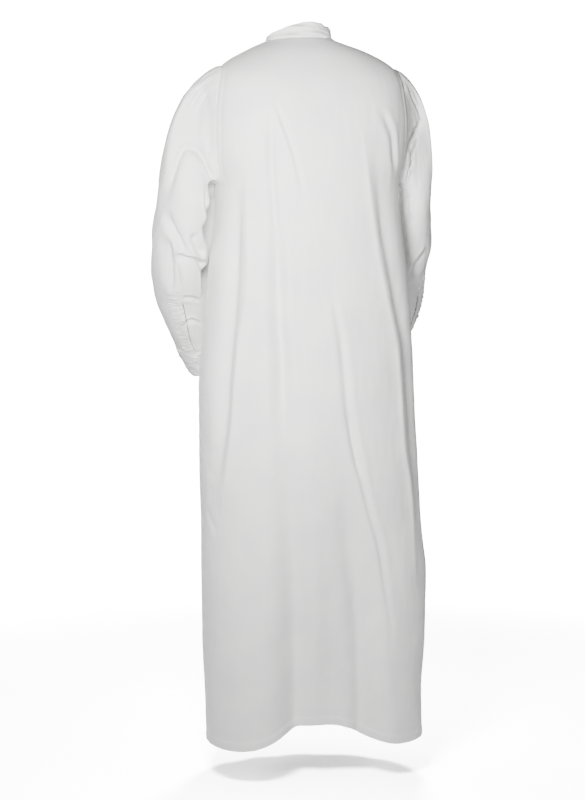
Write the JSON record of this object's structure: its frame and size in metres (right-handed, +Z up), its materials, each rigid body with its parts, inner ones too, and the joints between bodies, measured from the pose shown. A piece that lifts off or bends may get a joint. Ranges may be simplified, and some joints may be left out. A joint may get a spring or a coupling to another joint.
{
  "type": "thobe robe",
  "caption": "Ankle-length white thobe robe in its worn shape, with a stand collar, long buttoned-cuff sleeves, a short buttoned front opening and an open hem.",
  "frame": {"origin": "middle of the neck opening at the height of the back neck seam, where the wearer's neck holds the robe", "axes": "+Z up, -Y the front of the robe, +X the wearer's left"},
  "size_m": [0.5948, 0.4402, 1.4735],
  "materials": {
    "cloth": "smooth plain-woven white cotton blend with a faint sheen",
    "button": "polished white polyester resin"
  },
  "bodies": {
    "root": {"back_panel": "cloth", "front_panel": "cloth", "sleeve_left": "cloth", "sleeve_right": "cloth", "gauntlet_left": "cloth", "gauntlet_right": "cloth", "cuff_left": "cloth", "cuff_right": "cloth", "collar": "cloth", "front_placket": "cloth", "collar_button": "button", "front_button_1": "button", "front_button_2": "button", "front_button_3": "button", "gauntlet_button_left": "button", "gauntlet_button_right": "button", "cuff_button_left_1": "button", "cuff_button_left_2": "button", "cuff_button_right_1": "button", "cuff_button_right_2": "button"}
  },
  "joints": []
}
